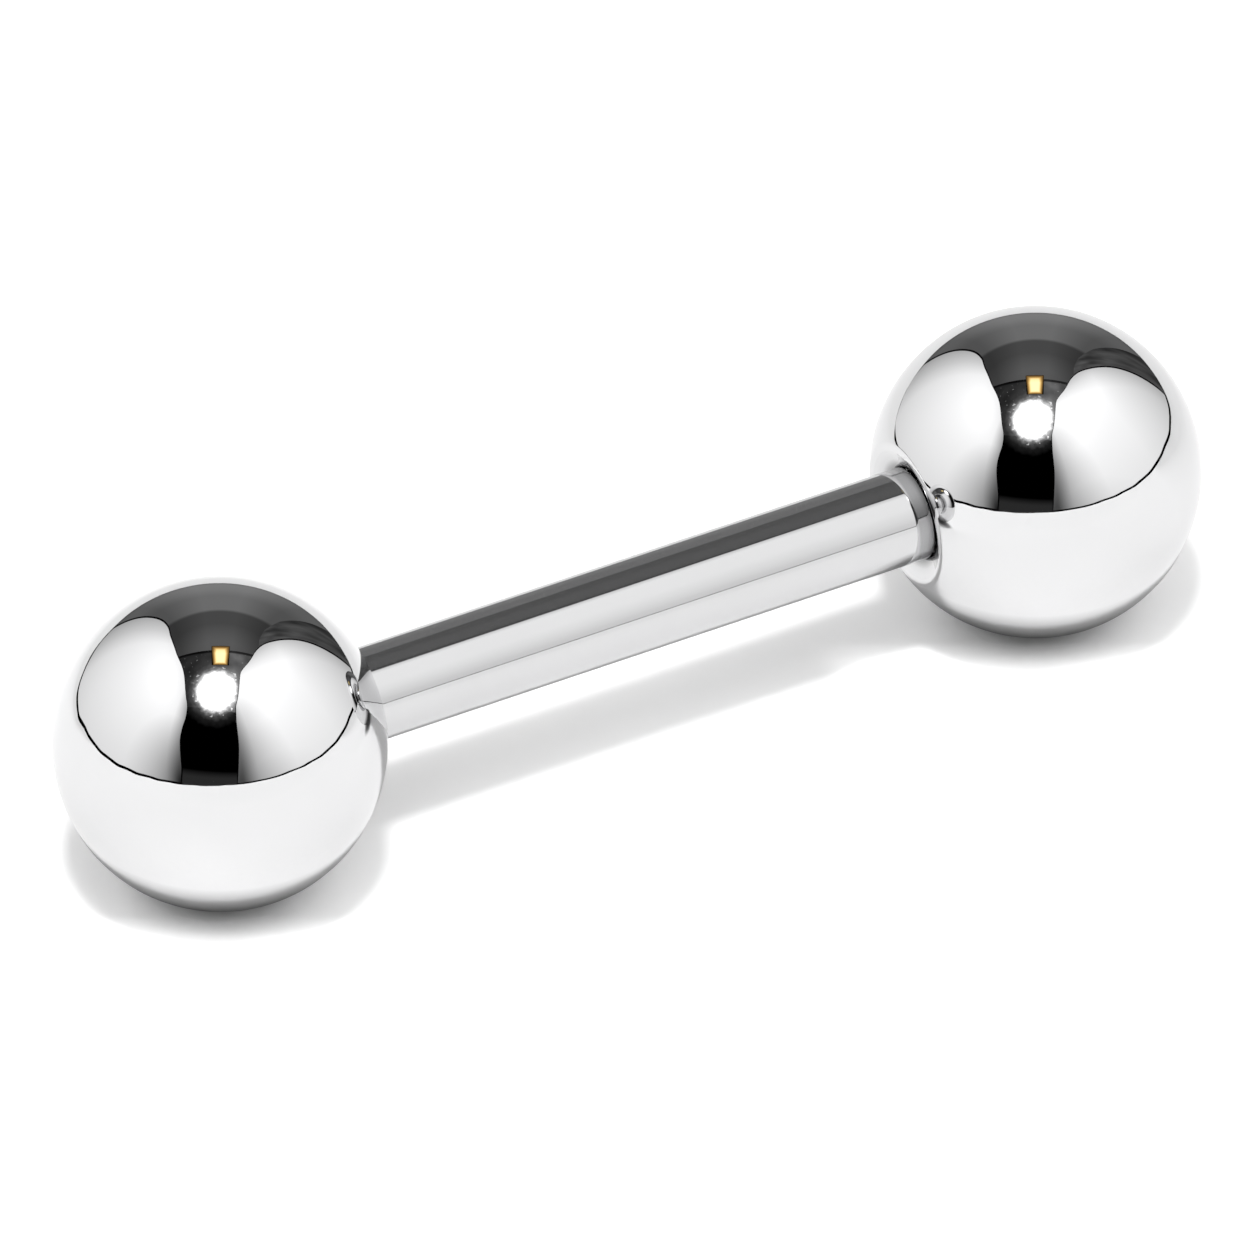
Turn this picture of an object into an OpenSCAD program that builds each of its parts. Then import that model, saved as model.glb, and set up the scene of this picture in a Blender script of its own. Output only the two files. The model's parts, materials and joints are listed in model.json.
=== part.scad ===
// Straight barbell for a cartilage piercing: a round bar with a ball screwed on each end.
// The bar lies along X, and the balls rest on the plane Z = 0.

/* [Bar] */
// Diameter of the plain shank, 16 gauge
bar_d = 1.2; // [1:0.1:1.5]
// Length of the plain shank, from seat to seat
shank_len = 8; // [5:0.5:16]
// Bevel on the edge of each end of the shank
end_bevel = 0.02; // [0.01:0.01:0.05]

/* [Studs] */
// Plain neck between the shank and the thread
neck_len = 0.12; // [0.12:0.01:0.2]
// Distance from one thread crest to the next
thread_pitch = 0.25; // [0.2:0.05:0.3]
// Depth of the grooves between the sharp crests
thread_depth = 0.15; // [0.1:0.01:0.16]
// Number of grooves on each stud
groove_count = 6; // [4:1:7]
// Bevel that leads the stud's tip into the bore
tip_bevel = 0.1; // [0.05:0.01:0.15]

/* [Balls] */
// Diameter of each ball
ball_d = 4.15; // [3.6:0.05:6]
// Diameter of the countersunk mouth, before its rim is rounded
mouth_d = 1.8; // [1.7:0.05:2]
// Full angle of the countersink
mouth_angle = 135; // [115:5:150]
// Radius that softens the rim of the mouth
rim_round = 0.14; // [0.05:0.01:0.16]
// Length of bore left empty beyond the stud's tip
bore_spare = 0.25; // [0.1:0.05:0.4]
// Depth of the grooves tapped in the bore
tap_depth = 0.06; // [0.04:0.01:0.08]
// How far each ball is screwed round, in degrees
ball_turn = 4.7; // [0:0.1:9.4]

/* [Fits] */
// Gap all round between the stud's crests and the bore
bore_gap = 0.015; // [0.01:0.005:0.03]
// Width of the ring on which the shank's end meets the countersink
seat_land = 0.005; // [0.005:0.005:0.02]
// Gap left between the shank's end and the countersink
seat_gap = 0.01; // [0.01:0.01:0.04]

/* [Hidden] */
$fn = 96;

steel_colour = [0.80, 0.80, 0.81];
flank_angle = 30;
drill_angle = 118;

bar_r = bar_d / 2;
ball_r = ball_d / 2;
mouth_r = mouth_d / 2;
half_shank = shank_len / 2;

// The shank's end face, the bore inside it, and the stud inside the bore
end_face_r = bar_r - end_bevel;
bore_r = end_face_r - seat_land;
tap_r = bore_r + tap_depth;
crest_r = bore_r - bore_gap;
root_r = crest_r - thread_depth;

// The countersink's wall rises outward at this angle from the plane of the mouth
wall_tilt = 90 - mouth_angle / 2;
mouth_z = sqrt(pow(ball_r, 2) - pow(mouth_r, 2));
function wall_z(r) = mouth_z - (mouth_r - r) * tan(wall_tilt);

// Places along the bar, from its middle
flank_run = thread_depth * tan(flank_angle);
function crest_x(i) = half_shank + neck_len + flank_run + i * thread_pitch;
tip_x = crest_x(groove_count) + tip_bevel;
ball_x = half_shank + wall_z(end_face_r) + seat_gap;

// Heights along a ball's axis, from its centre towards its mouth
bore_end_z = ball_x - tip_x - bore_spare;
bore_tip_z = bore_end_z - bore_r / tan(drill_angle / 2);

// The circle that rounds the rim touches both the countersink's wall and the ball
wall_along = [cos(wall_tilt), sin(wall_tilt)];
wall_inward = [sin(wall_tilt), -cos(wall_tilt)];
rim_corner = [mouth_r, mouth_z];
rim_start = rim_corner + rim_round * wall_inward;
start_along = rim_start * wall_along;
rim_slide = sqrt(pow(start_along, 2) - rim_start * rim_start + pow(ball_r - rim_round, 2)) - start_along;
rim_centre = rim_start + rim_slide * wall_along;
rim_on_wall = rim_corner + rim_slide * wall_along;
rim_on_ball = rim_centre * ball_r / (ball_r - rim_round);

// One groove of the thread, from a sharp crest to the flat floor before the next crest
function thread_groove(i) = [
    [crest_r, crest_x(i)],
    [root_r, crest_x(i) + flank_run],
    [root_r, crest_x(i + 1) - flank_run]
];

// One groove in the bore's wall, opposite a crest of the stud
tap_half_flat = thread_pitch / 2 - flank_run;
tap_half_mouth = tap_half_flat + tap_depth * tan(flank_angle);
function tap_groove(i) =
    let (middle = ball_x - crest_x(i)) [
        [bore_r, middle - tap_half_mouth],
        [tap_r, middle - tap_half_flat],
        [tap_r, middle + tap_half_flat],
        [bore_r, middle + tap_half_mouth]
    ];

// Outline of one end of the bar, from the shank's bevel to the stud's tip
end_outline = concat(
    [[bar_r, half_shank - end_bevel], [end_face_r, half_shank]],
    [[root_r, half_shank], [root_r, half_shank + neck_len]],
    [for (i = [0 : groove_count - 1]) each thread_groove(i)],
    [[crest_r, crest_x(groove_count)], [crest_r - tip_bevel, tip_x], [0, tip_x]]
);

// The other end is the same outline, taken backwards
other_end_outline = [
    for (i = [len(end_outline) - 1 : -1 : 0])
        [end_outline[i][0], -end_outline[i][1]]
];

module bar() {
    color(steel_colour)
        translate([0, 0, ball_r])
            rotate([0, 90, 0])
                rotate_extrude()
                    polygon(concat(other_end_outline, end_outline));
}

// What the drill, the tap and the countersink take out of a ball
module bore_cut() {
    far_r = 1.5 * mouth_r;
    far_z = 2 * ball_r;
    polygon(concat(
        [[0, far_z], [0, bore_tip_z], [bore_r, bore_end_z]],
        [for (i = [groove_count : -1 : 0]) each tap_groove(i)],
        [[bore_r, wall_z(bore_r)], [far_r, wall_z(far_r)], [far_r, far_z]]
    ));
}

// The sharp corner that the rounding takes off the rim: a kite outside the rounding circle
module rim_cut() {
    reach = 3;
    wall_side = reach * (rim_on_wall - rim_centre);
    ball_side = reach * (rim_on_ball - rim_centre);
    translate(rim_centre)
        difference() {
            polygon([[0, 0], wall_side, wall_side + ball_side, ball_side]);
            circle(r = rim_round);
        }
}

module ball_outline() {
    difference() {
        intersection() {
            circle(r = ball_r);
            translate([0, -ball_r])
                square([ball_r, 2 * ball_r]);
        }
        bore_cut();
        rim_cut();
    }
}

// A ball at the left end of the bar, with its mouth facing the bar's middle
module ball() {
    color(steel_colour)
        translate([-ball_x, 0, ball_r])
            rotate([0, 90, 0])
                rotate([0, 0, ball_turn])
                    rotate_extrude()
                        ball_outline();
}

module left_ball() {
    ball();
}

module right_ball() {
    mirror([1, 0, 0])
        ball();
}

bar();
left_ball();
right_ball();
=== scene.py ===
import json
import math

import bmesh
import bpy
from mathutils import Matrix, Vector


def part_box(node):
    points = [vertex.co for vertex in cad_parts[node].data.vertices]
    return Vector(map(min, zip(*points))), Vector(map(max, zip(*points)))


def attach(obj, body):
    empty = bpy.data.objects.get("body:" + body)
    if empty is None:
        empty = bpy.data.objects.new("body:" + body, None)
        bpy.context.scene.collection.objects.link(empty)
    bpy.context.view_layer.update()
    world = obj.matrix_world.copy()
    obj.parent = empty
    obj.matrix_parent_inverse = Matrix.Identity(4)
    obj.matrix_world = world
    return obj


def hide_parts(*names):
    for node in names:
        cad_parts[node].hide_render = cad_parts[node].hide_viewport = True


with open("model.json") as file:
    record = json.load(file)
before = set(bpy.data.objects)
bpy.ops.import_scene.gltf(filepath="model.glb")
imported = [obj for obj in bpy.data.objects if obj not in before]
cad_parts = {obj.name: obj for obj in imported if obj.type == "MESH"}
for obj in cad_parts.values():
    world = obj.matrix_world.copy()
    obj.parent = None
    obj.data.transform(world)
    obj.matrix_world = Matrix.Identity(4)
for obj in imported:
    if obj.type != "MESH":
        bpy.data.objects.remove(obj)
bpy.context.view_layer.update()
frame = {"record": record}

MM = 0.001

# Sizes that the frame gives, in metres
shank_mount = frame["record"]["mounts"][0]
axis_height = shank_mount["pos_m"][2]
bar_r = shank_mount["dims"]["r_mm"] * MM
ball_r = axis_height
ball_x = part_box("right_ball")[1].x - ball_r
tip_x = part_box("bar")[1].x

# Sizes of the ends of the bar, in metres
end_bevel = 0.02 * MM
neck_len = 0.12 * MM
thread_pitch = 0.25 * MM
thread_depth = 0.15 * MM
tip_bevel = 0.1 * MM

# Sizes of the mouth and the bore of each ball, in metres
mouth_r = 0.9 * MM
wall_tilt = math.radians(22.5)
rim_round = 0.14 * MM
bore_spare = 0.25 * MM
tap_depth = 0.06 * MM
bore_gap = 0.015 * MM
seat_land = 0.005 * MM
drill_half_angle = math.radians(59)
flank_angle = math.radians(30)

# Worked out from the sizes above
half_shank = shank_mount["dims"]["length_mm"] * MM / 2 + end_bevel
end_face_r = bar_r - end_bevel
soft_edge = end_bevel / 4
bore_r = end_face_r - seat_land
crest_r = bore_r - bore_gap
root_r = crest_r - thread_depth
thread_start = half_shank + neck_len
flank_run = thread_depth * math.tan(flank_angle)
bore_end = ball_x - tip_x - bore_spare
mouth_z = math.sqrt(ball_r ** 2 - mouth_r ** 2)

# Fineness of the meshes
SEGMENTS = 240
SPHERE_STEPS = 110
RIM_STEPS = 14
ROWS_PER_PITCH = 14
MERGE_WITHIN = 2e-8
SHARP_ANGLE = math.radians(32)


# Turned pieces: rows of (place along the axis, radius), one entry for each step round

def ring(along, radius):
    return [(along, radius)] * (SEGMENTS + 1)


def rings(outline):
    return [ring(along, radius) for along, radius in outline]


def mirrored(outline):
    """The same outline at the other end of the bar."""
    return [(-along, radius) for along, radius in reversed(outline)]


def arc(centre, radius, start, end, steps):
    """Points (along, radius) on a circle, whose angles run from the axis."""
    angles = [start + (end - start) * i / steps for i in range(steps + 1)]
    return [(centre[0] + radius * math.cos(a), centre[1] + radius * math.sin(a)) for a in angles]


def faded_in(distance, length):
    """From 0 at distance 0 to 1 at that length, with a level start and end."""
    t = min(max(distance / length, 0), 1)
    return t * t * (3 - 2 * t)


def helix_rows(start, end, anchor, radius_at):
    """Rows that climb with the thread, so that each row keeps its place between two crests."""
    step = thread_pitch / ROWS_PER_PITCH
    first = math.floor((start - anchor) / step) - ROWS_PER_PITCH
    last = math.ceil((end - anchor) / step)
    rows = []
    for k in range(first, last + 1):
        from_crest = abs((k / ROWS_PER_PITCH + 0.5) % 1 - 0.5) * thread_pitch
        row = []
        for j in range(SEGMENTS + 1):
            along = anchor + k * step + thread_pitch * j / SEGMENTS
            along = min(max(along, start), end)
            row.append((along, radius_at(along, from_crest)))
        rows.append(row)
    return rows


def turned(name, sections, placing):
    """A mesh turned about the axis from sections, each a material and its rows."""
    built = bmesh.new()
    for index, (_, rows) in enumerate(sections):
        grid = []
        for row in rows:
            line = []
            for j, (along, radius) in enumerate(row):
                angle = 2 * math.pi * j / SEGMENTS
                point = Vector((along, radius * math.cos(angle), radius * math.sin(angle)))
                line.append(built.verts.new(placing @ point))
            grid.append(line)
        for lower, upper in zip(grid, grid[1:]):
            for j in range(SEGMENTS):
                face = built.faces.new((lower[j], lower[j + 1], upper[j + 1], upper[j]))
                face.material_index = index
    bmesh.ops.remove_doubles(built, verts=built.verts, dist=MERGE_WITHIN)
    bmesh.ops.dissolve_degenerate(built, edges=built.edges, dist=MERGE_WITHIN)
    bmesh.ops.recalc_face_normals(built, faces=built.faces)
    mesh = bpy.data.meshes.new(name)
    built.to_mesh(mesh)
    built.free()
    for material, _ in sections:
        mesh.materials.append(material)
    mesh.shade_smooth()
    mesh.set_sharp_from_angle(angle=SHARP_ANGLE)
    piece = bpy.data.objects.new(name, mesh)
    bpy.context.scene.collection.objects.link(piece)
    return piece


# Nodes of the materials

def add(tree, kind, inputs=None, **settings):
    """A node with its settings, and each input set to a value or linked to a socket."""
    node = tree.nodes.new(kind)
    for name, value in settings.items():
        setattr(node, name, value)
    for name, value in (inputs or {}).items():
        if isinstance(value, bpy.types.NodeSocket):
            tree.links.new(value, node.inputs[name])
        else:
            node.inputs[name].default_value = value
    return node


def new_material(name):
    material = bpy.data.materials.new(name)
    material.use_nodes = True
    material.node_tree.nodes.clear()
    return material, material.node_tree


def emitting(material, tree, inputs, sampled=False):
    """Ends a material that gives light. Light that isn't sampled is for the steel to mirror."""
    light = add(tree, "ShaderNodeEmission", inputs).outputs[0]
    add(tree, "ShaderNodeOutputMaterial", {"Surface": light})
    if not sampled:
        material.cycles.emission_sampling = "NONE"
    return material


def plain_glow(name, strength, sampled=True):
    material, tree = new_material(name)
    return emitting(material, tree, {"Strength": strength}, sampled)


def maths(tree, operation, *values):
    return add(tree, "ShaderNodeMath", dict(enumerate(values)), operation=operation).outputs[0]


def total(tree, first, second):
    return maths(tree, "ADD", first, second)


def product(tree, first, second):
    return maths(tree, "MULTIPLY", first, second)


def dot(tree, place, towards):
    made = add(tree, "ShaderNodeVectorMath", {0: place, 1: towards}, operation="DOT_PRODUCT")
    return made.outputs["Value"]


def scaled(tree, vector, factor):
    made = add(tree, "ShaderNodeVectorMath", {0: vector, "Scale": factor}, operation="SCALE")
    return made.outputs[0]


def offset(tree, place, point):
    made = add(tree, "ShaderNodeVectorMath", {0: place, 1: point}, operation="SUBTRACT")
    return made.outputs[0]


def distance_from(tree, place, point, squeeze=(1, 1, 1)):
    """The distance from a point, with the directions scaled by squeeze."""
    inputs = {0: offset(tree, place, point), 1: squeeze}
    shaped = add(tree, "ShaderNodeVectorMath", inputs, operation="MULTIPLY").outputs[0]
    return add(tree, "ShaderNodeVectorMath", {0: shaped}, operation="LENGTH").outputs["Value"]


def coordinates(tree, place):
    return add(tree, "ShaderNodeSeparateXYZ", {0: place}).outputs


def own_place(tree, owner=None):
    """The object's own coordinates, or those of another object that moves."""
    return add(tree, "ShaderNodeTexCoord", object=owner).outputs["Object"]


def millimetres(tree, owner=None):
    return scaled(tree, own_place(tree, owner), 1 / MM)


def noise(tree, place, scale, detail, stretch=(1, 1, 1), turn=(0, 0, 0)):
    shaped = add(tree, "ShaderNodeMapping", {"Vector": place, "Scale": stretch, "Rotation": turn})
    inputs = {"Vector": shaped.outputs[0], "Scale": scale, "Detail": detail}
    return add(tree, "ShaderNodeTexNoise", inputs).outputs["Fac"]


def spread(tree, value, low, high, to_low, to_high):
    """Maps the range low to high of a value to another range, and holds it inside."""
    return add(tree, "ShaderNodeMapRange", {
        "Value": value,
        "From Min": low,
        "From Max": high,
        "To Min": to_low,
        "To Max": to_high,
    }).outputs["Result"]


def ramp_of(tree, value, stops):
    """A colour ramp over a value. Each stop is (value, grey tone or colour), from the lowest up."""
    low, high = stops[0][0], stops[-1][0]
    ramp = add(tree, "ShaderNodeValToRGB", {0: spread(tree, value, low, high, 0, 1)})
    elements = ramp.color_ramp.elements
    for i, (at, tone) in enumerate(stops):
        position = (at - low) / (high - low)
        element = elements[i] if i < len(elements) else elements.new(position)
        element.position = position
        element.color = (*tone, 1) if isinstance(tone, tuple) else (tone, tone, tone, 1)
    return ramp.outputs[0]


def bump(tree, height, depth, below=None):
    inputs = {"Height": height, "Distance": depth, "Strength": 1.0}
    if below is not None:
        inputs["Normal"] = below
    return add(tree, "ShaderNodeBump", inputs).outputs["Normal"]


# The steel. Noise scales are per millimetre, and SMUDGED is the share of the tone left by a smudge

SMUDGE_SCALE = 1.4
SMUDGED = 0.97
GRAIN_SCALE = 9
RIPPLE_SCALE = 0.8
NOISE_RANGE = (0.3, 0.7)
LINE_RANGE = (0.58, 0.75)


def steel(name, tone, roughness, ripple, marks, mark_depth, metallic=1.0, shading=None):
    """Stainless steel. ripple and mark_depth are in metres, marks are (scale, stretch, turn) of fine
    lines, and shading gives a factor for the tone from the place in millimetres, for painted light and
    shade."""
    material, tree = new_material(name)
    place = millimetres(tree)
    smooth, rougher = roughness
    normal = bump(tree, noise(tree, place, RIPPLE_SCALE, 1), ripple)
    rough = spread(tree, noise(tree, place, GRAIN_SCALE, 2), *NOISE_RANGE, smooth, rougher)
    for scale, stretch, turn in marks:
        lines = noise(tree, place, scale, 2, stretch, turn)
        normal = bump(tree, lines, mark_depth, normal)
        rough = total(tree, rough, spread(tree, lines, *LINE_RANGE, 0, rougher - smooth))
    smudge = noise(tree, place, SMUDGE_SCALE, 1)
    shade = add(tree, "ShaderNodeMix", {"Factor": smudge}, data_type="RGBA")
    shade.inputs["A"].default_value = (*[SMUDGED * channel for channel in tone], 1)
    shade.inputs["B"].default_value = (*tone, 1)
    colour = shade.outputs["Result"]
    if shading is not None:
        colour = scaled(tree, colour, shading(tree, place))
    surface = add(tree, "ShaderNodeBsdfPrincipled", {
        "Base Color": colour,
        "Roughness": rough,
        "Normal": normal,
        "Metallic": metallic,
    })
    add(tree, "ShaderNodeOutputMaterial", {"Surface": surface.outputs[0]})
    return material


# Painted light: the shank's underside is a little brighter than its top: heights over the axis, in mm
UNDERSIDE_LIGHT_FACTOR = 1.15
UNDERSIDE_TO = 0.16
TOP_FROM = 0.3

# Painted shade: the shank darkens next to each seat: distances from the seat, in mm
SEAT_SHADE_FACTOR = 0.78
SEAT_SHADE_FROM = 0.235
SEAT_SHADE_TO = 0.2


def shank_shading(tree, place):
    apart = coordinates(tree, place)
    middle = axis_height / MM
    seat = half_shank / MM
    # Painted light on the underside
    below = spread(tree, apart["Z"], middle + UNDERSIDE_TO, middle + TOP_FROM, UNDERSIDE_LIGHT_FACTOR, 1)
    # Painted shade next to each seat
    along = maths(tree, "ABSOLUTE", apart["X"])
    return product(tree, below, spread(tree, along, seat - SEAT_SHADE_FROM, seat - SEAT_SHADE_TO, 1, SEAT_SHADE_FACTOR))


# Painted shade: each countersink darkens towards its seat: (distance from the axis in mm, factor)
MOUTH_SHADE_TONES = [(0.5, 0.35), (0.61, 0.35), (0.66, 0.6), (0.72, 0.92), (0.8, 1), (1, 1)]


def mouth_shading(tree, place):
    # Painted shade in the countersink, by the shank's end
    away = distance_from(tree, place, (0, 0, axis_height / MM), (0, 1, 1))
    return ramp_of(tree, away, MOUTH_SHADE_TONES)


MIRROR_TONE = (0.735, 0.735, 0.74)
SHANK_TONE = (0.57, 0.57, 0.575)
SHANK_METALLIC = 0.95
TURNED_TONE = (0.71, 0.71, 0.715)
MACHINED_TONE = (0.66, 0.66, 0.665)
HAIRLINES = [
    (1, (1.2, 45, 45), (0, 0.3, 0.5)),
    (1, (40, 1.1, 40), (0.4, 0, 0.2)),
]
LENGTHWISE = [(1, (0.25, 38, 38), (0, 0, 0))]
ROUND_THE_AXIS = [(1, (60, 1.5, 1.5), (0, 0, 0))]

ball_steel = steel("mirror_ball", MIRROR_TONE, (0.010, 0.024), 0.25e-6, HAIRLINES, 0.6e-8)
shank_steel = steel("mirror_shank", SHANK_TONE, (0.014, 0.034), 0.15e-6, LENGTHWISE, 1.0e-8,
                    SHANK_METALLIC, shank_shading)
seat_steel = steel("turned_mouth", TURNED_TONE, (0.05, 0.10), 0.2e-6, ROUND_THE_AXIS, 1e-7,
                   shading=mouth_shading)
thread_steel = steel("cut_thread", MACHINED_TONE, (0.18, 0.30), 0.2e-6, ROUND_THE_AXIS, 3e-7)


# The bar: a threaded stud, the plain shank and the other stud

def stud_radius(x, from_crest):
    ridge = max(0, 1 - from_crest / flank_run)
    height = faded_in(abs(x) - thread_start, thread_pitch) * faded_in(tip_x - abs(x), tip_bevel)
    return root_r + thread_depth * ridge * height


def build_bar():
    # From the shank's last plain stretch to its end face, with the edges of its bevel softened
    right_end = [
        (half_shank - 3 * end_bevel, bar_r),
        (half_shank - end_bevel - soft_edge, bar_r),
        (half_shank - end_bevel + soft_edge / 2, bar_r - soft_edge / 2),
        (half_shank - soft_edge / 2, end_face_r + soft_edge / 2),
        (half_shank, end_face_r - soft_edge),
    ]
    neck = [(half_shank, end_face_r - soft_edge), (half_shank, root_r), (thread_start, root_r)]
    sections = [
        (thread_steel, rings([(-tip_x, 0), (-tip_x, root_r)])),
        (thread_steel, helix_rows(-tip_x, -thread_start, -thread_start, stud_radius)),
        (thread_steel, rings(mirrored(neck))),
        (shank_steel, rings(mirrored(right_end) + right_end)),
        (thread_steel, rings(neck)),
        (thread_steel, helix_rows(thread_start, tip_x, thread_start, stud_radius)),
        (thread_steel, rings([(tip_x, root_r), (tip_x, 0)])),
    ]
    return turned("steel_bar", sections, Matrix.Translation((0, 0, axis_height)))


# The balls: a sphere with a rounded rim, a countersunk mouth and a tapped blind bore

def wall_z(radius):
    return mouth_z - (mouth_r - radius) * math.tan(wall_tilt)


def rim_points():
    """The rounded rim, from the sphere to the wall of the countersink."""
    wall_along = Vector((math.sin(wall_tilt), math.cos(wall_tilt)))
    wall_inward = Vector((-math.cos(wall_tilt), math.sin(wall_tilt)))
    start = Vector((mouth_z, mouth_r)) + rim_round * wall_inward
    start_along = start.dot(wall_along)
    inside = ball_r - rim_round
    slide = math.sqrt(start_along ** 2 - start.dot(start) + inside ** 2) - start_along
    rim_centre = start + slide * wall_along
    to_ball = math.atan2(rim_centre.y, rim_centre.x)
    to_wall = math.atan2(-wall_inward.y, -wall_inward.x)
    return arc(rim_centre, rim_round, to_ball, to_wall, RIM_STEPS)


def bore_radius(along, from_crest):
    groove = max(0, 1 - from_crest / flank_run)
    top = wall_z(bore_r)
    height = faded_in(along - bore_end, thread_pitch) * faded_in(top - along, thread_pitch)
    return bore_r + tap_depth * groove * height


def build_ball(name, placing):
    rim = rim_points()
    rim_angle = math.atan2(rim[0][1], rim[0][0])
    sphere = arc((0, 0), ball_r, math.pi, rim_angle, SPHERE_STEPS)
    wall_end = (wall_z(bore_r), bore_r)
    bore_tip = (bore_end - bore_r / math.tan(drill_half_angle), 0)
    sections = [
        (ball_steel, rings(sphere + rim[1:])),
        (seat_steel, rings([rim[-1], wall_end])),
        (thread_steel, helix_rows(bore_end, wall_end[0], ball_x - thread_start, bore_radius)[::-1]),
        (thread_steel, rings([(bore_end, bore_r), bore_tip])),
    ]
    return turned(name, sections, placing)


bar = build_bar()
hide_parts("bar")
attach(bar, "bar")

left_place = Matrix.Translation((-ball_x, 0, axis_height))
left_ball = build_ball("steel_left_ball", left_place)
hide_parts("left_ball")
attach(left_ball, "left_ball")

right_place = Matrix.Translation((ball_x, 0, axis_height)) @ Matrix.Rotation(math.pi, 4, "Y")
right_ball = build_ball("steel_right_ball", right_place)
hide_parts("right_ball")
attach(right_ball, "right_ball")


# The camera: a long lens, with the bar running up to the right

CAMERA_AZIMUTH = math.radians(-28.36)
CAMERA_ELEVATION = math.radians(38.19)
CAMERA_DISTANCE = 400 * MM
VIEW_WIDTH = 15.554 * MM
SENSOR = 36
AIM_UP = -0.247 * MM
AIM_RIGHT = -0.036 * MM

centre = Vector((0, 0, axis_height))
upward = Vector((0, 0, 1))
to_camera = Vector((math.sin(CAMERA_AZIMUTH), -math.cos(CAMERA_AZIMUTH), 0))
to_right = Vector((math.cos(CAMERA_AZIMUTH), math.sin(CAMERA_AZIMUTH), 0))
towards_camera = math.cos(CAMERA_ELEVATION) * to_camera + math.sin(CAMERA_ELEVATION) * upward


def build_camera():
    data = bpy.data.cameras.new("camera")
    data.sensor_width = SENSOR
    data.lens = SENSOR * CAMERA_DISTANCE / VIEW_WIDTH
    data.clip_start = 0.01
    data.clip_end = 3
    aim = AIM_UP * towards_camera.cross(to_right) + AIM_RIGHT * to_right
    camera = bpy.data.objects.new("camera", data)
    camera.location = centre + aim + CAMERA_DISTANCE * towards_camera
    camera.rotation_euler = towards_camera.to_track_quat("Z", "Y").to_euler()
    bpy.context.scene.collection.objects.link(camera)
    bpy.context.scene.camera = camera


build_camera()


# The studio, placed as the object sees it: a bearing of 0 is towards the camera, 90 to its right

STUDIO_TILT = math.radians(1.8)
CARD_DISTANCE = 200 * MM
GAP_DISTANCE = 1000 * MM

studio_front = math.cos(STUDIO_TILT) * to_camera + math.sin(STUDIO_TILT) * upward
studio_top = math.cos(STUDIO_TILT) * upward - math.sin(STUDIO_TILT) * to_camera


def level_direction(bearing, front):
    b = math.radians(bearing)
    return math.cos(b) * front + math.sin(b) * to_right


def direction(bearing, elevation):
    e = math.radians(elevation)
    return math.cos(e) * level_direction(bearing, studio_front) + math.sin(e) * studio_top


def tangent(degrees):
    return math.tan(math.radians(degrees))


def stage_object(name, mesh, material, placing=None):
    mesh.materials.append(material)
    made = bpy.data.objects.new(name, mesh)
    if placing is not None:
        made.matrix_world = placing
    bpy.context.scene.collection.objects.link(made)
    return made


def mesh_from(name, points, faces):
    mesh = bpy.data.meshes.new(name)
    mesh.from_pydata(points, [], faces)
    return mesh


def disc(radius, steps=96):
    angles = [2 * math.pi * i / steps for i in range(steps)]
    return [(radius * math.cos(a), radius * math.sin(a)) for a in angles]


def smooth_loop(corners, steps=4):
    """A closed Catmull-Rom curve through the corners. A corner that is given twice stays sharp."""
    count = len(corners)
    points = []
    for i in range(count):
        a, b, c, d = (Vector(corners[(i + k) % count]) for k in (-1, 0, 1, 2))
        if b == c:
            continue
        for s in range(steps):
            t = s / steps
            bend = 2 * a - 5 * b + 4 * c - d
            twist = 3 * b - a - 3 * c + d
            points.append(0.5 * (2 * b + (c - a) * t + bend * t ** 2 + twist * t ** 3))
    return points


class Card:
    """A flat card that faces the object. Its own coordinates are tangents of angles from its middle."""

    def __init__(self, bearing, elevation, distance):
        self.normal = direction(bearing, elevation)
        self.side = direction(bearing + 90, 0)
        self.rise = self.normal.cross(self.side)
        turn = Matrix((self.side, self.rise, self.normal)).transposed().to_4x4()
        shift = Matrix.Translation(centre + distance * self.normal)
        self.placing = shift @ turn @ Matrix.Scale(distance, 4)

    def at(self, bearing, elevation):
        seen = direction(bearing, elevation)
        depth = seen.dot(self.normal)
        return (seen.dot(self.side) / depth, seen.dot(self.rise) / depth)

    def build(self, name, outline, material):
        points = [(point[0], point[1], 0) for point in outline]
        mesh = mesh_from(name, points, [list(range(len(points)))])
        card = stage_object(name, mesh, material, self.placing)
        card.visible_camera = False
        return card


# Where the far edge of the table lies, as the object sees it: (bearing, elevation)
TABLE_EDGE = [
    (-180, -1), (-155, -2), (-142, -6), (-130, -8.3), (-118, -7.5), (-105, -4.5), (-90, -3),
    (-75, -1), (-60, 1.6), (-45, 4), (-30, 5.8), (-15, 7.3), (0, 8), (20, 7.8), (45, 6.7),
    (60, 5.2), (75, 3.4), (90, 2), (105, 1), (120, -1.5), (135, -3.3), (150, -1.5), (180, -1),
]
# The dark line between the table and a softbox, in degrees
EDGE_LINE = 1.9


def table_edge(bearing):
    bearing = (bearing + 180) % 360 - 180
    for (b0, e0), (b1, e1) in zip(TABLE_EDGE, TABLE_EDGE[1:]):
        if bearing <= b1:
            return e0 + (e1 - e0) * faded_in(bearing - b0, b1 - b0)


# The softboxes: two bright cards, each with a black border behind it

SOFTBOX_BRIGHTEST = 1.4
SOFTBOX_REACH = 3.0
FOOT_STEP = 5
BORDER_BEHIND = 1.02
BORDER_WIDER = 1.05
BORDER_HIGHER = 1.022
BORDER_BELOW = 3

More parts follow.
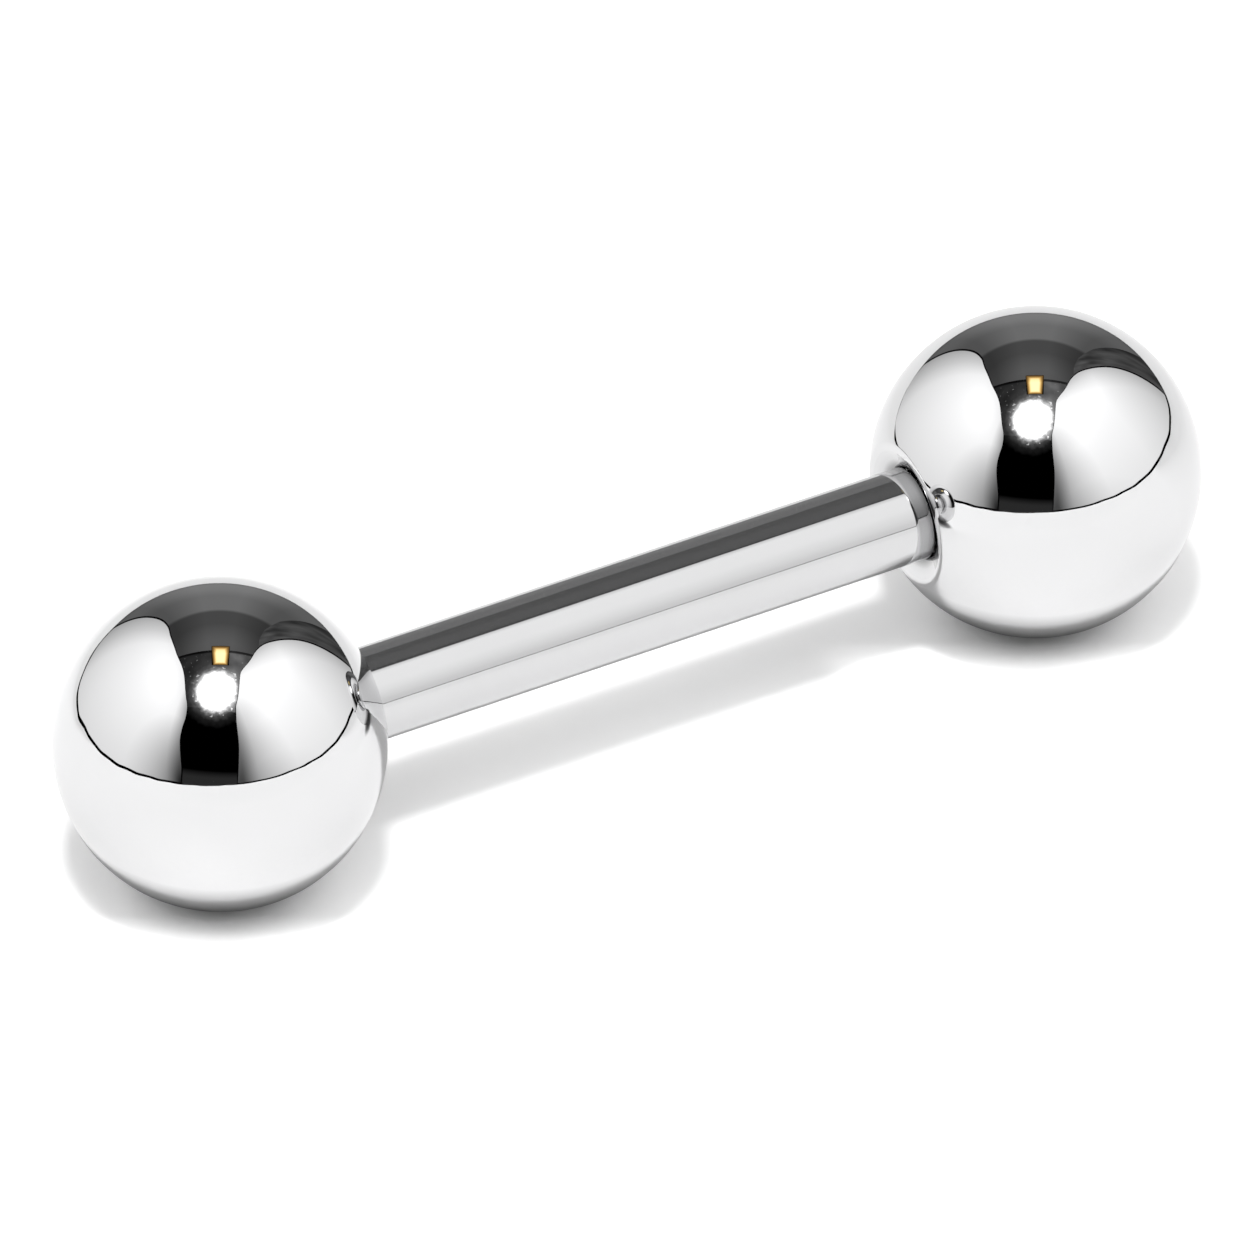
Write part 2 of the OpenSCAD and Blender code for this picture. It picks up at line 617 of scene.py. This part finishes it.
# Corners of each softbox above the table: (bearing, elevation)
LEFT_CORNERS = [
    (-27, 16), (-29.5, 24), (-33.5, 34), (-35.5, 42), (-37, 50), (-42, 56.5), (-50, 60.5), (-62, 64.5),
    (-76, 67), (-90, 67.5), (-105, 65.8), (-120, 61), (-131, 55.5), (-140.5, 47.5), (-147, 40),
    (-150.5, 30), (-151.5, 15),
]
RIGHT_CORNERS = [
    (135.5, 12), (136.5, 35), (136, 52), (134, 58.5), (129, 64), (120, 68.5), (110, 72), (95, 75.5),
    (80, 76.8), (65, 76), (50, 73.5), (40, 70.5), (30, 65.5), (22.5, 60.5), (22.5, 60.5), (18, 50),
    (16, 35), (13.5, 20),
]


def softbox_glow(name, peak, fall, hot, corners, sides):
    """Light that falls off from a hot place. Corners are (point, squeeze, near, far, darkest) and sides
    are (slant, start, end, darkest): each dims the light further."""
    material, tree = new_material(name)
    place = own_place(tree)
    away = distance_from(tree, place, hot)
    level = spread(tree, away, 0, SOFTBOX_REACH, peak, peak - fall * SOFTBOX_REACH)
    level = maths(tree, "MINIMUM", level, SOFTBOX_BRIGHTEST)
    for point, squeeze, near, far, darkest in corners:
        away = distance_from(tree, place, point, (1, squeeze, 1))
        level = product(tree, level, spread(tree, away, near, far, darkest, 1))
    for slant, start, end, darkest in sides:
        across = dot(tree, place, slant)
        level = product(tree, level, spread(tree, across, start, end, 1, darkest))
    return emitting(material, tree, {"Strength": level}, sampled=True)


def softbox_outline(card, first, last, upper, foot_shift):
    foot = [card.at(b, table_edge(b) + foot_shift) for b in range(first, last + 1, FOOT_STEP)]
    loop = [foot[0], foot[0], *foot[1:-1], foot[-1], foot[-1]]
    return smooth_loop(loop + [card.at(*corner) for corner in upper])


def softbox(name, facing, first, last, upper, glow):
    """A softbox from bearing first to last: its upper corners are given, and its foot follows the table."""
    card = Card(facing, 0, CARD_DISTANCE)
    card.build(name, softbox_outline(card, first, last, upper, EDGE_LINE / 2), glow)
    behind = Card(facing, 0, CARD_DISTANCE * BORDER_BEHIND)
    border = softbox_outline(behind, first, last, upper, -BORDER_BELOW)
    border = [Vector((BORDER_WIDER * p.x, BORDER_HIGHER * p.y)) for p in border]
    rim = behind.build(name + "_border", border, black_cloth)
    rim.visible_shadow = False


black_cloth = plain_glow("black_cloth", 0, sampled=False)

left_light = softbox_glow(
    "left_softbox_light", 1.57, 0.37, (0, 1.5, 0),
    [((2.0, 0.3, 0), 1, -0.1, 1.6, 0)],
    [((1, 0.389, 0), 1.45, 2.1, 0.4), ((-1, 0, 0), 0.9, 1.35, 0.78), ((-1, 0, 0), 1.35, 2.1, 0.75)],
)
right_light = softbox_glow(
    "right_softbox_light", 1.82, 0.283, (-0.1, 2.6, 0),
    [
        ((-2.2, -0.5, 0), 0.35, 0.35, 1.75, 0.15),
        ((-1.2, -0.9, 0), 1, 0.8, 1.5, 0.8),
        ((1.9, 0.2, 0), 1, 0.3, 1.7, 0.65),
    ],
    [((-1, 0, 0), 1.35, 2.05, 0.55), ((1, 0.35, 0), 1.2, 2.2, 0.58)],
)
softbox("left_softbox", -90, -151, -26, LEFT_CORNERS, left_light)
softbox("right_softbox", 80, 12, 137, RIGHT_CORNERS, right_light)


# The dark side of the right softbox, in folds that get darker away from it

SIDE_FACING = (110, 10)
SIDE_DISTANCE = 500 * MM
SIDE_CORNERS = [(134, -5), (151.5, -4), (151.5, 30), (149, 46), (143, 55), (134, 60)]
SIDE_TONES = [(0.4, 0.085), (0.65, 0.075), (0.78, 0.05), (0.9, 0.035)]
FOLD_SCALE = 3
FOLD_STRETCH = (2.5, 0.6, 1)
FOLD_RANGE = (0.35, 0.65)
FOLD_FACTORS = (0.5, 1.5)


def side_glow():
    material, tree = new_material("dark_side")
    place = own_place(tree)
    tone = ramp_of(tree, coordinates(tree, place)["X"], SIDE_TONES)
    folds = spread(tree, noise(tree, place, FOLD_SCALE, 2, FOLD_STRETCH), *FOLD_RANGE, *FOLD_FACTORS)
    return emitting(material, tree, {"Strength": product(tree, tone, folds)})


side = Card(*SIDE_FACING, SIDE_DISTANCE)
side.build("softbox_side", [side.at(*corner) for corner in SIDE_CORNERS], side_glow())


# The flash: a hot core in a white dish. Tones are (degrees from its middle, tone)

FLASH_PLACE = (-7, 72.7)
FLASH_DISTANCE = 900 * MM
CORE_NEARER = 0.98
CORE_ANGLE = 5
CORE_STRENGTH = 70
DISH_ANGLE = 26
DISH_SQUEEZE = 1.13
DISH_STRENGTH = 2.6
DISH_TONES = [
    (0, 1), (11.8, 0.97), (13.4, 0.74), (14.8, 0.32), (16.2, 0.1), (18, 0.03), (21, 0.006), (26, 0),
]
SPARK_TONES = [(0, 0), (14, 0), (15.2, 0.7), (17, 0.4), (19, 0), (26, 0)]
SPARK_SCALE = 18
SPARK_RANGE = (0.61, 0.69)
RAGGED_SCALE = 14
RAGGED_BY = 0.018


def flash_glow():
    """White in the middle, with a soft ragged edge and a ring of small sparks round it."""
    material, tree = new_material("flash_dish_light")
    place = own_place(tree)
    ragged = noise(tree, place, RAGGED_SCALE, 2)
    away = distance_from(tree, place, (0, 0, 0), (DISH_SQUEEZE, 1, 1))
    away = total(tree, away, spread(tree, ragged, *NOISE_RANGE, -RAGGED_BY, RAGGED_BY))
    glow = ramp_of(tree, away, [(tangent(angle), tone) for angle, tone in DISH_TONES])
    near_rim = ramp_of(tree, away, [(tangent(angle), tone) for angle, tone in SPARK_TONES])
    sparks = spread(tree, noise(tree, place, SPARK_SCALE, 2), *SPARK_RANGE, 0, 1)
    level = total(tree, glow, product(tree, sparks, near_rim))
    light = add(tree, "ShaderNodeEmission", {"Strength": product(tree, level, DISH_STRENGTH)})
    clear = add(tree, "ShaderNodeBsdfTransparent")
    over = add(tree, "ShaderNodeAddShader", {0: light.outputs[0], 1: clear.outputs[0]})
    add(tree, "ShaderNodeOutputMaterial", {"Surface": over.outputs[0]})
    material.cycles.emission_sampling = "NONE"
    return material


dish = Card(*FLASH_PLACE, FLASH_DISTANCE)
dish.build("flash_dish", disc(tangent(DISH_ANGLE)), flash_glow())
core = Card(*FLASH_PLACE, FLASH_DISTANCE * CORE_NEARER)
core.build("flash_core", disc(tangent(CORE_ANGLE)), plain_glow("flash_core_light", CORE_STRENGTH))


# The small warm lamp: sizes are tangents of angles, as on its card

LAMP_PLACE = (180, 80.5)
LAMP_DISTANCE = 450 * MM
LAMP_HALF_WIDTH = 0.06
LAMP_HALF_HEIGHT = 0.11
LAMP_SOFT = 0.025
LAMP_TAPER = 0.05
LAMP_STRENGTH = 1.6
LAMP_FAR_TONE = 0.5
LAMP_FULL_FROM = -LAMP_HALF_HEIGHT / 4
LAMP_TONES = [
    (0, (0, 0, 0)), (0.3, (0.3, 0.17, 0.05)), (0.55, (0.75, 0.48, 0.16)),
    (0.75, (1, 0.82, 0.4)), (1, (1, 0.92, 0.5)),
]


def soft_edge_at(tree, value, edge):
    return spread(tree, value, edge - LAMP_SOFT, edge + LAMP_SOFT, 1, 0)


def lamp_glow():
    """Pale yellow with an orange edge, and dimmer at its far end."""
    material, tree = new_material("warm_lamp_light")
    apart = coordinates(tree, own_place(tree))
    taper = product(tree, apart["Y"], LAMP_TAPER)
    across = total(tree, maths(tree, "ABSOLUTE", apart["X"]), taper)
    along = maths(tree, "ABSOLUTE", apart["Y"])
    beside = soft_edge_at(tree, across, LAMP_HALF_WIDTH)
    above = soft_edge_at(tree, along, LAMP_HALF_HEIGHT)
    far_end = spread(tree, apart["Y"], -LAMP_HALF_HEIGHT, LAMP_FULL_FROM, LAMP_FAR_TONE, 1)
    inside = product(tree, maths(tree, "MINIMUM", beside, above), far_end)
    return emitting(material, tree, {"Color": ramp_of(tree, inside, LAMP_TONES), "Strength": LAMP_STRENGTH})


def build_lamp():
    across = LAMP_HALF_WIDTH + LAMP_SOFT + LAMP_TAPER * LAMP_HALF_HEIGHT
    along = LAMP_HALF_HEIGHT + LAMP_SOFT
    outline = [(-across, -along), (across, -along), (across, along), (-across, along)]
    card = Card(*LAMP_PLACE, LAMP_DISTANCE).build("warm_lamp", outline, lamp_glow())
    card.visible_diffuse = False


build_lamp()


# What stands between the softboxes: black, and a little lighter at its foot

GAP_FACING = (-10, 30)
GAP_CORNERS = [(-45, 0), (-10, 0), (25, 0), (25, 62), (-10, 62), (-45, 62)]
GAP_FOOT_TONE = 0.03
GAP_FOOT_TO = -17
GAP_BLACK_FROM = -12


def gap_glow():
    material, tree = new_material("dark_gap")
    height = coordinates(tree, own_place(tree))["Y"]
    tone = spread(tree, height, tangent(GAP_FOOT_TO), tangent(GAP_BLACK_FROM), GAP_FOOT_TONE, 0)
    return emitting(material, tree, {"Strength": tone})


gap = Card(*GAP_FACING, GAP_DISTANCE)
gap_card = gap.build("camera_gap", [gap.at(*corner) for corner in GAP_CORNERS], gap_glow())
gap_card.visible_shadow = False


# A dark canopy overhead. Its straight back edge lies behind the lamp

CANOPY_BACK = 0.249
CANOPY_HEM_TO = 0.028
CANOPY_HEM_FROM = 0.042
CANOPY_HEM_FACTOR = 0.2
CANOPY_FRONT = 0.62
CANOPY_HALF_WIDTH = 1.3
CANOPY_TONES = [(-0.5, 0.025), (-0.2, 0.03), (0, 0.06), (0.15, 0.18), (0.3, 0.12), (0.5, 0.12)]
PATCH_SCALE = 5
PATCH_FACTORS = (0.55, 1.35)
SPECK_SCALE = 35
SPECK_RANGE = (0.68, 0.76)
SPECK_TONE = 0.3


def canopy_glow():
    material, tree = new_material("canopy")
    place = own_place(tree)
    apart = coordinates(tree, place)
    hem = (CANOPY_BACK - CANOPY_HEM_FROM, CANOPY_BACK - CANOPY_HEM_TO)
    inside = spread(tree, apart["Y"], *hem, 1, CANOPY_HEM_FACTOR)
    patches = spread(tree, noise(tree, place, PATCH_SCALE, 1), *NOISE_RANGE, *PATCH_FACTORS)
    specks = spread(tree, noise(tree, place, SPECK_SCALE, 2), *SPECK_RANGE, 0, SPECK_TONE)
    cloth = product(tree, ramp_of(tree, apart["X"], CANOPY_TONES), patches)
    return emitting(material, tree, {"Strength": product(tree, total(tree, cloth, specks), inside)})


canopy = Card(0, 90, GAP_DISTANCE)
canopy_card = canopy.build("canopy", [
    (-CANOPY_HALF_WIDTH, -CANOPY_FRONT), (CANOPY_HALF_WIDTH, -CANOPY_FRONT),
    (CANOPY_HALF_WIDTH, CANOPY_BACK), (-CANOPY_HALF_WIDTH, CANOPY_BACK),
], canopy_glow())
canopy_card.visible_shadow = False


# The dark room round the softboxes, seen only in the steel: (elevation, tone)

ROOM_RADIUS = 1.5
ROOM_TONES = [
    (-90, 0.05), (-3, 0.2), (2, 0.26), (10, 0.25), (20, 0.2), (37.3, 0.2), (40, 0.085), (52, 0.085),
    (60, 0.112), (68, 0.135), (90, 0.13),
]
# It is darker away from the middle of its back wall: shares of its radius, to the side
ROOM_SIDE_FROM = 0.12
ROOM_SIDE_TO = 0.36
ROOM_SIDE_FACTOR = 0.55


def build_room():
    lean = studio_top.to_track_quat("Z", "Y").to_matrix().to_4x4()
    material, tree = new_material("room")
    place = own_place(tree)
    tones = [(math.sin(math.radians(elevation)), tone) for elevation, tone in ROOM_TONES]
    tone = ramp_of(tree, coordinates(tree, place)["Z"], tones)
    sideways = maths(tree, "ABSOLUTE", dot(tree, place, lean.inverted() @ to_right))
    beside = spread(tree, sideways, ROOM_SIDE_FROM, ROOM_SIDE_TO, 1, ROOM_SIDE_FACTOR)
    emitting(material, tree, {"Color": tone, "Strength": beside})
    built = bmesh.new()
    bmesh.ops.create_uvsphere(built, u_segments=64, v_segments=32, radius=1)
    mesh = bpy.data.meshes.new("room")
    built.to_mesh(mesh)
    built.free()
    mesh.shade_smooth()
    placing = Matrix.Translation(centre) @ lean @ Matrix.Scale(ROOM_RADIUS, 4)
    room = stage_object("room", mesh, material, placing)
    room.visible_camera = False
    room.visible_shadow = False


build_room()


# The white table. The camera sees a plain floor, and the steel mirrors the table's own edge

SEEN_TONE = 1.35
MIRRORED_TONE = 0.96
TOOTH_SCALE = 6
TOOTH = 0.01

# Shade round the place where each ball touches the table: (distance in mm, factor)
SEEN_SHADE = [
    (0, 0.35), (0.72, 0.42), (0.9, 0.63), (1.0, 0.73), (1.1, 0.8), (1.25, 0.88), (1.45, 0.94),
    (1.8, 1), (3, 1),
]
MIRRORED_SHADE = [(0, 0.3), (0.9, 0.3), (1.1, 0.36), (1.4, 0.56), (1.75, 0.74), (2.1, 1), (3, 1)]

# Light in front of each ball: (distance in mm towards the camera, share of light added)
FRONT_LIGHT = [
    (0, 0), (0.8, 0), (0.9, 0.15), (1.0, 0.25), (1.1, 0.4), (1.2, 0.6), (1.35, 0.75), (3, 0.75),
]
FRONT_LIGHT_FADES = (2.2, 3)

# The mirrored paper is darker away from the camera: distances in mm
BACK_SHADE = 0.82
BACK_FROM = 3
BACK_TO = 11

# Far from the object, beyond the softboxes, the seen floor is plain white: distances in mm
PLAIN_FROM = 45
PLAIN_TO = 110
PLAIN_WHITE = 1.1

FLOOR_RADIUS = 1.4
FLOOR_STEPS = 64
TABLE_RADIUS = 190 * MM
TABLE_FLAT_BEFORE_RISE = 30 * MM
TABLE_FLAT_BEFORE_FALL = 12 * MM
SPOKE_STEP = 3
SPOKE_ROWS = 40


def contact_shade(tree, ball, foot_x, shade, front_light):
    """The factor by which the paper is darker or lighter round one ball's foot, wherever the ball is."""
    place = millimetres(tree, ball)
    foot = (foot_x / MM, 0, 0)
    away = distance_from(tree, place, foot)
    factor = ramp_of(tree, away, shade)
    if front_light:
        ahead = ramp_of(tree, dot(tree, offset(tree, place, foot), to_camera), front_light)
        added = product(tree, ahead, spread(tree, away, *FRONT_LIGHT_FADES, 1, 0))
        factor = product(tree, factor, total(tree, added, 1.0))
    return factor


def white_paper(name, tone, shade, front_light, back_shade):
    material, tree = new_material(name)
    place = millimetres(tree)
    tooth = noise(tree, place, TOOTH_SCALE, 1)
    level = product(
        tree,
        contact_shade(tree, left_ball, -ball_x, shade, front_light),
        contact_shade(tree, right_ball, ball_x, shade, front_light),
    )
    level = product(tree, level, spread(tree, tooth, 0, 1, tone - TOOTH, tone + TOOTH))
    behind = dot(tree, place, -to_camera)
    level = product(tree, level, spread(tree, behind, BACK_FROM, BACK_TO, 1, back_shade))
    surface = add(tree, "ShaderNodeBsdfDiffuse", {"Color": level, "Roughness": 0.0}).outputs[0]
    if front_light:
        far = spread(tree, distance_from(tree, place, (0, 0, 0)), PLAIN_FROM, PLAIN_TO, 0, 1)
        plain = add(tree, "ShaderNodeEmission", {"Strength": PLAIN_WHITE}).outputs[0]
        surface = add(tree, "ShaderNodeMixShader", {0: far, 1: surface, 2: plain}).outputs[0]
        material.cycles.emission_sampling = "NONE"
    add(tree, "ShaderNodeOutputMaterial", {"Surface": surface})
    return material


def table_rise(bearing):
    """The height of the table's far end, so that a ball mirrors its edge at the right elevation."""
    out = level_direction(bearing, to_camera)
    seen = direction(bearing, table_edge(bearing) - EDGE_LINE / 2)
    mirror = ball_r * (seen + towards_camera).normalized()
    slope = seen.z / math.hypot(seen.x, seen.y)
    return axis_height + mirror.z + slope * (TABLE_RADIUS - mirror.dot(out))


def table_height(rise, radius):
    if rise > 0:
        return rise * faded_in(radius - TABLE_FLAT_BEFORE_RISE, TABLE_RADIUS - TABLE_FLAT_BEFORE_RISE)
    return rise * max(0, radius - TABLE_FLAT_BEFORE_FALL) / (TABLE_RADIUS - TABLE_FLAT_BEFORE_FALL)


def build_seen_floor():
    paper = white_paper("white_paper", SEEN_TONE, SEEN_SHADE, FRONT_LIGHT, 1)
    points = [(*point, 0) for point in disc(FLOOR_RADIUS, FLOOR_STEPS)]
    floor = stage_object("floor", mesh_from("floor", points, [list(range(FLOOR_STEPS))]), paper)
    floor.visible_glossy = False
    floor.visible_shadow = False
    floor.visible_diffuse = False


def build_mirrored_table():
    paper = white_paper("mirrored_paper", MIRRORED_TONE, MIRRORED_SHADE, None, BACK_SHADE)
    # Spokes from under the right ball on its side, and from under the left ball on the other
    spokes = [(ball_x, bearing) for bearing in range(0, 181, SPOKE_STEP)]
    spokes += [(-ball_x, bearing) for bearing in range(180, 361, SPOKE_STEP)]
    points = []
    for foot_x, bearing in spokes:
        out = level_direction(bearing, to_camera)
        rise = table_rise(bearing)
        for s in range(SPOKE_ROWS + 1):
            radius = TABLE_RADIUS * s / SPOKE_ROWS
            points.append((foot_x + out.x * radius, out.y * radius, table_height(rise, radius)))
    faces = []
    row = SPOKE_ROWS + 1
    for i in range(len(spokes)):
        here = i * row
        there = ((i + 1) % len(spokes)) * row
        for s in range(SPOKE_ROWS):
            faces.append((here + s, here + s + 1, there + s + 1, there + s))
    table = stage_object("mirrored_table", mesh_from("mirrored_table", points, faces), paper)
    table.visible_camera = False
    table.visible_shadow = False
    table.visible_diffuse = False


build_seen_floor()
build_mirrored_table()

# Behind the floor's far edge the camera sees plain white
world = bpy.data.worlds.new("white")
bpy.context.scene.world = world
world.use_nodes = True
background = world.node_tree.nodes["Background"]
background.inputs["Color"].default_value = (1, 1, 1, 1)
background.inputs["Strength"].default_value = PLAIN_WHITE
world.cycles.sampling_method = "NONE"
world.cycles_visibility.diffuse = False
world.cycles_visibility.glossy = False
world.cycles_visibility.transmission = False

scene = bpy.context.scene
scene.view_settings.view_transform = "Standard"
scene.cycles.sample_clamp_indirect = 4
scene.cycles.max_bounces = 7
scene.cycles.diffuse_bounces = 1
scene.cycles.glossy_bounces = 5
